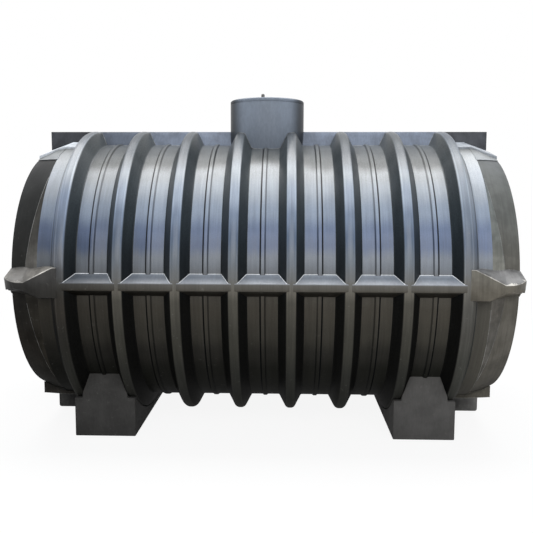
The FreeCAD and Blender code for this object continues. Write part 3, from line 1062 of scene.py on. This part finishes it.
@dataclass
class SoftenedNode(Assembly):
    """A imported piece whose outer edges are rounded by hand."""

    node: str
    name: str
    finishes: tuple[Finish, ...]
    slot: str
    width: float = 0.004
    overlap: float = 0.013

    def outside(self, edge: Edge) -> bool:
        """Say whether an edge lies outside the trimmed seat of the piece."""
        return True

    def sort(self, polygon: Face) -> int:
        """Say which of the finishes a face gets."""
        return 0

    def prepare(self) -> None:
        """Shape the open copy further before its edges are softened."""

    def run_over(self, x: float, side: float, wanted: Callable[[Vector], bool]) -> None:
        """Let the end that lies at x run on over the rounded edge of a rib crest.

        Args:
            x: Where the end lies.
            side: -1 or 1, the way in which it runs on.
            wanted: Says for one corner's place whether it moves.
        """
        Bench.shift(lambda place: abs(place.x - x) < NEAR_END and wanted(place),
                    (side * self.overlap, 0.0, 0.0))

    def lay_line(self, name: str, radius: float, finish: Finish, wanted: Callable[[Edge], bool]) -> None:
        """Lay a thin pale line along chosen edges of the bare piece.

        Args:
            name: Name of the line.
            radius: Radius of the line.
            finish: Its finish.
            wanted: Says for one edge whether the line follows it.
        """
        Bench.from_node(self.node, name)
        Bench.pick("edges", wanted)
        bpy.ops.mesh.select_all(action="INVERT")
        bpy.ops.mesh.delete(type="EDGE")
        bpy.ops.mesh.select_all(action="SELECT")
        bpy.ops.mesh.delete(type="ONLY_FACE")
        self.fit(Bench.tube(name, radius), (finish,), [], self.slot)

    def build(self) -> None:
        """Take the copy, soften its edges and let it stand for the node."""
        piece = Bench.from_node(self.node, self.name)
        self.prepare()
        Bench.bevel_sharp(self.width, 3, self.outside)
        Bench.close(piece)
        self.fit(piece, self.finishes, [self.node], self.slot, self.sort)


@dataclass
class CrestBars(SoftenedNode):
    """Bars of the level flange or of the crown fin, which stand between the ribs."""

    half_gap: float = 0.127

    def at_crest(self, place: Vector) -> bool:
        """Say whether a place lies as far out as the rib crests."""
        return max(abs(place.y), place.z - AXIS_HEIGHT) > RIB_RADIUS - ON_FACE

    def outside(self, edge: Edge) -> bool:
        """Only the two crest edges are free; the rest is seated."""
        return all(self.at_crest(vert.co) for vert in edge.verts)

    def prepare(self) -> None:
        """Let every bar meet the flat of the rib crests."""
        for index in range(RIB_COUNT - 1):
            for side in (-1.0, 1.0):
                self.run_over(bay_centre(index) + side * self.half_gap, side, self.at_crest)


@dataclass
class EndCaps(Assembly):
    """End caps with a shoulder, a taper, side panels let in between wedges and a dished end wall."""

    shoulder: float = 0.048
    shoulder_drop: float = 0.013
    rim_radius: float = 0.709
    lip: float = 0.034
    dish: float = 0.026
    rim_round: float = 0.010
    crown_height: float = 0.664
    crown_relief: float = 0.003
    wedge_top: tuple[float, float] = (1.186, 0.560)
    wedge_bottom: tuple[float, float] = (1.250, 0.105)
    panel_relief: float = -0.002
    skin_depth: float = 0.006
    hub_radius: float = 0.001
    crease_radius: float = 0.0012
    crease_steps: int = 10
    seam_stretch: float = 1.15

    def on_skin(self, place: Vector) -> bool:
        """Say whether a place lies on the cap's outside, short of its rim."""
        radius = math.hypot(place.y, place.z - AXIS_HEIGHT)
        return BARREL_HALF < place.x < RIM_X - ON_FACE and radius > self.rim_radius - self.skin_depth

    def wedge_reach(self, height: float) -> float:
        """X of the wedge's outer line at a height above or below the parting line.

        Args:
            height: The height, with or without its sign.

        Returns:
            Its place along the tank.
        """
        top_x, top_height = self.wedge_top
        low_x, low_height = self.wedge_bottom
        return low_x + (top_x - low_x) * (abs(height) - low_height) / (top_height - low_height)

    def region(self, place: Vector) -> int:
        """Name the cap's region at a place.

        Args:
            place: A place on the right cap.

        Returns:
            0 for the panel, 1 for a wedge, 2 for the crown and 3 for the belly.
        """
        height = place.z - AXIS_HEIGHT
        if abs(height) > self.crown_height:
            return 2 if height > 0.0 else 3
        return int(place.x < self.wedge_reach(height) and self.on_skin(place))

    def cut(self, place: Place, way: Place, side: float) -> None:
        """Cut one line across the skin of the open cap.

        Args:
            place: A place on the cutting plane.
            way: The plane's normal.
            side: 1 to cut the upper half, -1 the lower.
        """
        Bench.pick("faces", lambda face: side * (face.calc_center_median().z - AXIS_HEIGHT) > 0.0
                   and self.on_skin(face.calc_center_median()))
        bpy.ops.mesh.bisect(plane_co=place, plane_no=way)

    def raise_region(self, wanted: int, height: float) -> None:
        """Lift or sink one region of the open cap's skin, with a step round it.

        Args:
            wanted: Number of the region.
            height: How far it is lifted.
        """
        Bench.pick("faces", lambda face: self.on_skin(face.calc_center_median())
                   and self.region(face.calc_center_median()) == wanted)
        bpy.ops.mesh.extrude_region_shrink_fatten(TRANSFORM_OT_shrink_fatten={"value": height})

    def build(self) -> None:
        """Spin the right cap, cut and step its regions and mirror it to the left."""
        dish_radius = self.rim_radius - self.lip
        shoulder_x = BARREL_HALF + self.shoulder
        shoulder_radius = BARREL_RADIUS - self.shoulder_drop
        section = [
            (BARREL_HALF, BARREL_RADIUS),
            (shoulder_x, shoulder_radius),
            (RIM_X, self.rim_radius),
            (RIM_X, dish_radius),
            (RIM_X - self.dish, dish_radius - self.dish),
            (RIM_X - self.dish, self.hub_radius),
            (RIM_X - self.dish - WALL, self.hub_radius),
            (shoulder_x, shoulder_radius - WALL),
            (BARREL_HALF, BARREL_RADIUS - WALL),
        ]
        corners = [(x, 0.0, AXIS_HEIGHT + radius) for x, radius in section]
        cap = Bench.outline("right_cap_shell", corners)
        Bench.round_corners(corners[2:3], self.rim_round, 4)
        Bench.round_corners(corners[3:5], self.rim_round, 3)
        Bench.turn_round_axis()
        run = self.wedge_bottom[0] - self.wedge_top[0]
        rise = self.wedge_top[1] - self.wedge_bottom[1]
        for side in (1.0, -1.0):
            self.cut((0.0, 0.0, AXIS_HEIGHT + side * self.crown_height), (0.0, 0.0, 1.0), side)
            low = (self.wedge_bottom[0], 0.0, AXIS_HEIGHT + side * self.wedge_bottom[1])
            self.cut(low, (rise, 0.0, side * run), side)
        for region, relief in ((0, self.panel_relief), (2, self.crown_relief), (3, self.crown_relief)):
            self.raise_region(region, relief)
        Bench.face_out()
        Bench.close(cap, CAP_SHADING)
        twin = Bench.mirror(cap, "left_cap_shell", 0)
        # The right cap takes the copies painted lighter, the left the copies painted darker; the crown takes
        # the bays' painted reflections.
        for piece, side, panel, wedge in ((cap, "right", Finish.CAP_RIGHT, Finish.WEDGE_RIGHT),
                                          (twin, "left", Finish.CAP_LEFT, Finish.WEDGE_LEFT)):
            self.fit(piece, (panel, wedge, Finish.BAY, panel), [side + "_end_cap"], "end_caps", self.sort)
        self.lay_creases()

    def skin_radius(self, x: float) -> float:
        """Radius of the cap's outside.

        Args:
            x: Distance from the tank's middle.

        Returns:
            The radius there.
        """
        out = max(x, BARREL_HALF) - BARREL_HALF
        if out < self.shoulder:
            return BARREL_RADIUS - self.shoulder_drop * out / self.shoulder
        shoulder_radius = BARREL_RADIUS - self.shoulder_drop
        taper = (out - self.shoulder) / (RIM_X - BARREL_HALF - self.shoulder)
        return shoulder_radius - (shoulder_radius - self.rim_radius) * taper

    def lay_creases(self) -> None:
        """Lay the pale lines of painted highlight along the creases of all wedges and along the lower half of
        the right cap's seam.
        """
        low, high = self.wedge_bottom[1], self.wedge_top[1]
        heights = [low + (high - low) * step / self.crease_steps for step in range(self.crease_steps + 1)]
        runs = {
            "upper_wedge_crease": [(self.wedge_reach(height), height) for height in heights],
            "lower_wedge_crease": [(self.wedge_reach(height), -height) for height in heights],
            "lower_seam_crease": [(BARREL_HALF, -height * self.seam_stretch) for height in heights],
        }
        for name, run in runs.items():
            points = [(x, -math.sqrt(self.skin_radius(x) ** 2 - height * height), AXIS_HEIGHT + height)
                      for x, height in run]
            front = Bench.thread("right_front_" + name, points, self.crease_radius)
            pieces = [front, Bench.mirror(front, "right_back_" + name, 1)]
            if name.endswith("wedge_crease"):
                pieces += [Bench.mirror(piece, piece.name.replace("right", "left"), 0) for piece in pieces]
            for piece in pieces:
                self.fit(piece, (Finish.CREASE,), [], "end_caps")

    def sort(self, polygon: Face) -> int:
        """Give every face of a cap the finish of its region."""
        place = Vector((abs(polygon.center.x), polygon.center.y, polygon.center.z))
        return self.region(place) if place.x < RIM_X - 0.001 else 0


@dataclass
class EndWings(SoftenedNode):
    """The flange round one end: dark body, a leaf on top of each wing painted pale for the light from above,
    and worn front edges.
    """

    caps: Optional[EndCaps] = None
    corner: tuple[float, float] = (1.248, 0.740)
    corner_radius: float = 0.110
    rim_band: float = 0.003
    worn_width: float = 0.0078
    seat_line: float = 0.0012
    seat_height: float = 0.06
    tip_draw: float = 0.010
    tip_lift: float = 0.012
    tip_bands: int = 9
    inner_end: float = 1.065
    free_from: float = 1.072
    leaf_from: float = 1.085
    leaf_height: float = 0.0205

    def outside(self, edge: Edge) -> bool:
        """The free edges lie beyond the last rib."""
        return all(abs(vert.co.x) > self.free_from for vert in edge.verts)

    def from_rim(self, place: Vector) -> float:
        """Measure how far a place lies inside the flange's outline, seen from above.

        Args:
            place: The place.

        Returns:
            The distance.
        """
        out = abs(place.x) - self.corner[0]
        across = abs(place.y) - self.corner[1]
        if out > 0.0 and across > 0.0:
            return self.corner_radius - math.hypot(out, across)
        return min(RIB_RADIUS - abs(place.y), self.corner[0] + self.corner_radius - abs(place.x))

    def upper_rim(self, edge: Edge) -> bool:
        """The upper free edges, where the plastic is worn."""
        return all(self.from_rim(vert.co) < self.rim_band and vert.co.z > AXIS_HEIGHT for vert in edge.verts)

    def on_seat(self, edge: Edge) -> bool:
        """Say whether an edge is the wing's upper seat, which follows the outside of the cap.

        Args:
            edge: The edge.

        Returns:
            Whether the pale line follows it.
        """
        if max((face.normal.z for face in edge.link_faces), default=0.0) < 0.3:
            return False
        for vert in edge.verts:
            radius = math.hypot(vert.co.y, vert.co.z - AXIS_HEIGHT)
            off_cap = abs(radius - self.caps.skin_radius(abs(vert.co.x))) > ON_FACE
            if off_cap or vert.co.z < AXIS_HEIGHT + self.seat_height:
                return False
        return True

    def thin_tip(self, end: float, side: float) -> None:
        """Draw the lower rim of one tip in and up, most of all at the middle of its round corner.

        Args:
            end: -1 at the left end, 1 at the right.
            side: -1 in front, 1 at the back.
        """
        band = math.pi / 2.0 / self.tip_bands
        for step in range(self.tip_bands):
            low = step * band
            way = low + band / 2.0
            share = math.sin(2.0 * way)

            def wanted(place: Vector) -> bool:
                """Say whether a place on the lower rim lies in this band of the round corner.

                Args:
                    place: The place.

                Returns:
                    Whether it moves with this band.
                """
                out = place.x * end - self.corner[0]
                across = place.y * side - self.corner[1]
                on_rim = min(out, across) > 0.0 and self.from_rim(place) < self.rim_band
                return on_rim and place.z < AXIS_HEIGHT and low <= math.atan2(across, out) < low + band

            inward = self.tip_draw * share
            Bench.shift(wanted, (-end * inward * math.cos(way), -side * inward * math.sin(way),
                                 self.tip_lift * share))

    def prepare(self) -> None:
        """Let the wings meet the rib crest, round their upper edges and thin their tips."""
        for side in (-1.0, 1.0):
            self.run_over(side * self.inner_end, -side, lambda place: True)
        Bench.bevel_sharp(self.worn_width, 3, self.upper_rim)
        end = -1.0 if self.node.startswith("left") else 1.0
        for side in (-1.0, 1.0):
            self.thin_tip(end, side)
        bpy.ops.mesh.select_all(action="SELECT")
        bpy.ops.mesh.vert_connect_nonplanar(angle_limit=PLANAR_ANGLE)

    def build(self) -> None:
        """Lay the thin line of painted highlight along the upper seat and soften the flange."""
        self.lay_line(self.name + "_seat", self.seat_line, Finish.CREASE, self.on_seat)
        super().build()

    def sort(self, polygon: Face) -> int:
        """The body comes first, then the leaf, then the worn edge.

        Args:
            polygon: The face.

        Returns:
            The number of its finish.
        """
        if self.from_rim(polygon.center) < self.worn_width and polygon.normal.z > 0.12:
            return 2
        # The leaf, the upward faces on top, gets the colour painted pale for the light from above.
        leaf = polygon.normal.z > 0.25 and polygon.center.z > AXIS_HEIGHT + self.leaf_height
        return int(leaf and abs(polygon.center.x) > self.leaf_from)


@dataclass
class EndPlate(SoftenedNode):
    """An upright end plate with the wide pad that carries it."""

    corner_round: float = 0.0
    rim_line: float = 0.0017
    rim_finish: Finish = Finish.CREASE
    half_plate: float = 0.024
    corner_from: float = 1.33
    corner_half: float = 0.03
    rim_from: float = 0.295
    pad_from: float = 0.712
    pad_to: float = 0.830

    def plate_corner(self, edge: Edge) -> bool:
        """The outer corner of the plate, furthest from the tank's axis."""
        return all(abs(vert.co.x) > self.corner_from and abs(vert.co.y) < self.corner_half
                   and abs(vert.co.z - AXIS_HEIGHT) > RIB_RADIUS - ON_FACE for vert in edge.verts)

    def pad_rim(self, edge: Edge) -> bool:
        """The long side edges of the pad."""
        return all(abs(vert.co.y) > self.rim_from and abs(vert.co.z - AXIS_HEIGHT) > self.pad_from
                   for vert in edge.verts)

    def prepare(self) -> None:
        """Round the outer corner of the plate."""
        if self.corner_round:
            Bench.bevel_sharp(self.corner_round, 4, self.plate_corner)

    def build(self) -> None:
        """Lay the pale line of painted highlight along the lower pad's edges and soften plate and pad."""
        if self.corner_round:
            self.lay_line(self.name + "_rim", self.rim_line, self.rim_finish, self.pad_rim)
        super().build()

    def sort(self, polygon: Face) -> int:
        """The plate comes first, then the pad."""
        level = abs(polygon.normal.z) > 0.6 and abs(polygon.center.z - AXIS_HEIGHT) < self.pad_to
        return int(abs(polygon.center.y) > self.half_plate or level)


@dataclass
class HighlightLines(Assembly):
    """Thin pale lines that paint highlights on the fillets where flange, fin and shaft meet the round wall,
    and along the crest edges of flange and fin.
    """

    thickness: float = 0.0023
    edge_thickness: float = 0.0012
    flange_half: float = 0.019
    flange_base_half: float = 0.057
    shaft_gap: float = 0.0005
    points: int = 9
    ring_steps: int = 96

    def wall_radius(self, x: float) -> float:
        """Radius of barrel or rib.

        Args:
            x: Place along the tank.

        Returns:
            The radius there.
        """
        from_rib = abs((x / RIB_PITCH) % 1.0 - 0.5) * RIB_PITCH
        flank = (RIB_BASE / 2.0 - from_rib) / (RIB_BASE - RIB_CREST) * 2.0
        return BARREL_RADIUS + (RIB_RADIUS - BARREL_RADIUS) * min(max(flank, 0.0), 1.0)

    def bar_edge(self, x: float) -> tuple[float, float]:
        """Find where a bar's sloped side meets the wall.

        Args:
            x: Place along the tank.

        Returns:
            Distance from the axis and half thickness of the bar there.
        """
        slope = (self.flange_base_half - self.flange_half) / (RIB_RADIUS - BARREL_RADIUS)
        root = self.flange_half + slope * RIB_RADIUS
        square = 1.0 + slope * slope
        inside = (root * slope) ** 2 - square * (root * root - self.wall_radius(x) ** 2)
        reach = (root * slope + math.sqrt(inside)) / square
        return reach, root - slope * reach

    def bay_stations(self) -> list[float]:
        """Pick places along one bay, from rib crest to rib crest, close together on the flanks.

        Returns:
            Their distances from the middle of the bay.
        """
        crest = (RIB_PITCH - RIB_CREST) / 2.0 - 0.001
        foot = (RIB_PITCH - RIB_BASE) / 2.0
        flank = [crest + (foot - crest) * step / 4.0 for step in range(5)]
        level = [foot - 2.0 * foot * step / self.points for step in range(1, self.points)]
        return [-x for x in flank + level] + flank[::-1]

    def lay(self, name: str, points: Sequence[Place], slot: str, radius: float, finish: Finish) -> Piece:
        """Lay one line and fit it.

        Args:
            name: Name of the line.
            points: Places on it.
            slot: The record's material slot.
            radius: Radius of the line.
            finish: Its finish.

        Returns:
            The line.
        """
        line = Bench.thread(name, points, radius)
        self.fit(line, (finish,), [], slot)
        return line

    def repeat(self, line: Piece, name: str, bays: Sequence[int], slot: str, finish: Finish) -> None:
        """Copy the line of the first bay to other bays and to the back.

        Args:
            line: The line in the first bay.
            name: Start of the copies' names.
            bays: Numbers of the bays, the first included.
            slot: The record's material slot.
            finish: Finish of the copies.
        """
        for number in bays:
            copy = line
            if number > 1:
                copy = Bench.copy_along(line, "%s_%d" % (name, number), (number - 1) * RIB_PITCH)
                self.fit(copy, (finish,), [], slot)
            self.fit(Bench.mirror(copy, "back_%s_%d" % (name, number), 1), (finish,), [], slot)

    def build(self) -> None:
        """Lay the lines of one bay, copy them along and lay the ring round the shaft."""
        stations = [(bay_centre(0) + x, *self.bar_edge(x)) for x in self.bay_stations()]
        ends = [stations[0][0], bay_centre(0), stations[-1][0]]
        crest = RIB_RADIUS - self.edge_thickness
        half = self.flange_half - 0.001
        all_bays = range(1, RIB_COUNT)
        fin_bays = (1, 2, 6, 7)
        flange_seam = [(x, -reach, AXIS_HEIGHT + thick) for x, reach, thick in stations]
        flange_edge = [(x, -crest, AXIS_HEIGHT + half) for x in ends]
        fin_seam = [(x, -thick, AXIS_HEIGHT + reach) for x, reach, thick in stations]
        fin_edge = [(x, -half, AXIS_HEIGHT + crest) for x in ends]
        for name, points, bays, slot, radius, finish in (
            ("flange_seam", flange_seam, all_bays, "side_flanges", self.thickness, Finish.SEAM),
            ("flange_edge", flange_edge, all_bays, "side_flanges", self.edge_thickness, Finish.SEAM),
            ("fin_seam", fin_seam, fin_bays, "crown_fins", self.edge_thickness, Finish.CREASE),
            ("fin_edge", fin_edge, fin_bays, "crown_fins", self.edge_thickness, Finish.SEAM),
        ):
            self.repeat(self.lay(name + "_1", points, slot, radius, finish), name, bays, slot, finish)
        ring = []
        for step in range(self.ring_steps + 1):
            turn = 2.0 * math.pi * step / self.ring_steps
            x = (SHAFT_RADIUS + self.shaft_gap) * math.cos(turn)
            y = (SHAFT_RADIUS + self.shaft_gap) * math.sin(turn)
            ring.append((x, y, AXIS_HEIGHT + math.sqrt(self.wall_radius(x) ** 2 - y * y)))
        self.lay("shaft_foot_seam", ring, "access_shaft", self.edge_thickness, Finish.CREASE)


@dataclass
class AccessShaft(Assembly):
    """Access shaft with its lid and the lug on the lid."""

    def build(self) -> None:
        """Soften the shaft, the lid and the lug."""
        for node, finish, width in (("access_shaft", Finish.SHAFT, 0.002), ("lid", Finish.SHAFT, 0.003),
                                    ("lid_knob", Finish.LUG, 0.002)):
            piece = Bench.from_node(node, node + "_moulded")
            Bench.bevel_sharp(width, 2, lambda edge: True)
            Bench.close(piece)
            self.fit(piece, (finish,), [node], node)


@dataclass
class Studio:
    """Camera, lamps, floor and backdrop."""

    camera_place: tuple[float, float, float] = (0.1263, -4.331, 1.3702)
    pitch: float = 6.0527
    yaw: float = 1.6992
    roll: float = 0.1347
    lens: float = 46.835
    sensor: float = 36.0
    floor_size: float = 40.0
    floor_drop: float = 0.0005
    white: tuple[float, float, float, float] = (1.0, 1.0, 1.0, 1.0)
    air: tuple[float, float, float, float] = (0.90, 0.94, 1.0, 1.0)
    floor_grey: tuple[float, float, float, float] = (0.85, 0.85, 0.85, 1.0)

    def build(self) -> None:
        """Set up everything round the tank."""
        self.place_camera()
        self.build_world()
        self.hang_lamps()
        self.lay_floor()
        bpy.context.scene.view_settings.view_transform = "Standard"

    def place_camera(self) -> None:
        """Put the camera where the photograph was taken from."""
        Bench.clear()
        bpy.ops.object.camera_add(location=self.camera_place)
        camera = bpy.context.object
        turn = Matrix.Rotation(math.radians(self.yaw), 4, "Z")
        tilt = Matrix.Rotation(math.radians(90.0 - self.pitch), 4, "X")
        bank = Matrix.Rotation(math.radians(self.roll), 4, "Z")
        camera.matrix_world = Matrix.Translation(self.camera_place) @ turn @ tilt @ bank
        camera.data.lens = self.lens
        camera.data.sensor_width = self.sensor
        camera.data.clip_end = 200.0
        bpy.context.scene.camera = camera

    def build_world(self) -> None:
        """Give an even pale light, and plain white where the camera or a reflection sees it."""
        world = bpy.data.worlds.new("studio_air")
        bpy.context.scene.world = world
        graph = Graph(world)
        air = graph.add("ShaderNodeBackground", {"Color": self.air, "Strength": 0.45})
        white = graph.add("ShaderNodeBackground", {"Color": self.white, "Strength": 1.0})
        mix = graph.add("ShaderNodeMixShader", {0: graph.seen(), 1: air.outputs[0], 2: white.outputs[0]})
        graph.add("ShaderNodeOutputWorld", {"Surface": mix.outputs[0]})

    def hang_lamps(self) -> None:
        """Hang a wide soft lamp overhead and a weaker one in front."""
        aim = Vector((0.0, 0.0, 0.9))
        for name, place, size, power in (
            ("overhead_lamp", (0.0, 0.6, 5.2), (7.0, 3.4), 420.0),
            ("front_lamp", (0.5, -6.8, 4.2), (7.0, 3.0), 300.0),
        ):
            Bench.clear()
            bpy.ops.object.light_add(type="AREA", location=place)
            lamp = bpy.context.object
            lamp.name = name
            lamp.data.shape = "RECTANGLE"
            lamp.data.size, lamp.data.size_y = size
            lamp.data.energy = power
            lamp.rotation_euler = (aim - Vector(place)).to_track_quat("-Z", "Y").to_euler()

    def lay_floor(self) -> None:
        """Lay a white floor that keeps a soft shadow."""
        Bench.clear()
        bpy.ops.mesh.primitive_plane_add(size=self.floor_size, location=(0.0, 0.0, -self.floor_drop))
        floor = bpy.context.object
        floor.name = "studio_floor"
        graph = Graph(bpy.data.materials.new("studio_floor"))
        matt = graph.add("ShaderNodeBsdfDiffuse", {"Color": self.floor_grey})
        glow = graph.add("ShaderNodeEmission", {"Color": self.white, "Strength": 1.0})
        place = graph.add("ShaderNodeTexCoord").outputs["Object"]
        reach = graph.add("ShaderNodeVectorMath", {0: place}, operation="LENGTH").outputs["Value"]
        share = graph.times(graph.seen(), graph.span(reach, 1.6, 4.5, 0.90, 1.0))
        mix = graph.add("ShaderNodeMixShader", {0: share, 1: matt.outputs[0], 2: glow.outputs[0]})
        graph.add("ShaderNodeOutputMaterial", {"Surface": mix.outputs[0]})
        floor.data.materials.append(graph.owner)


def main() -> None:
    logging.basicConfig(level=logging.INFO, format="%(name)s %(message)s")
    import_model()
    paint = Paintshop()
    Barrel(paint).build()
    RingRibs(paint).build()
    for side in ("front", "back"):
        CrestBars(paint, side + "_flange", side + "_seam_flange", (Finish.FLANGE,), "side_flanges",
                  width=0.003).build()
    for bay in (1, 2, 3, 5, 6, 7):
        CrestBars(paint, "crown_fin_%d" % bay, "crown_fin_bar_%d" % bay, (Finish.FIN,), "crown_fins").build()
    caps = EndCaps(paint)
    caps.build()
    # Each end takes its own copies of the wing, leaf and pad colours, painted lighter or darker for the light
    # and shade at that end.
    for end, body, leaf, pad, rim in (
        ("left", Finish.WING_LEFT, Finish.LEAF_LEFT, Finish.PAD_LEFT, Finish.CREASE),
        ("right", Finish.WING_RIGHT, Finish.LEAF_RIGHT, Finish.PAD_RIGHT, Finish.SEAM),
    ):
        EndWings(paint, end + "_end_flange", end + "_flange_wing", (body, leaf, Finish.WORN), "end_flanges",
                 caps=caps).build()
        for level, corner_round in (("upper", 0.0), ("lower", 0.014)):
            node = "%s_%s_end_plate" % (end, level)
            EndPlate(paint, node, node + "_moulded", (Finish.PLATE, pad), "end_plates",
                     corner_round=corner_round, rim_finish=rim).build()
        SoftenedNode(paint, end + "_foot", end + "_foot_moulded", (Finish.FOOT,), "feet", width=0.006).build()
    AccessShaft(paint).build()
    HighlightLines(paint).build()
    Studio().build()


if __name__ == "__main__":
    main()
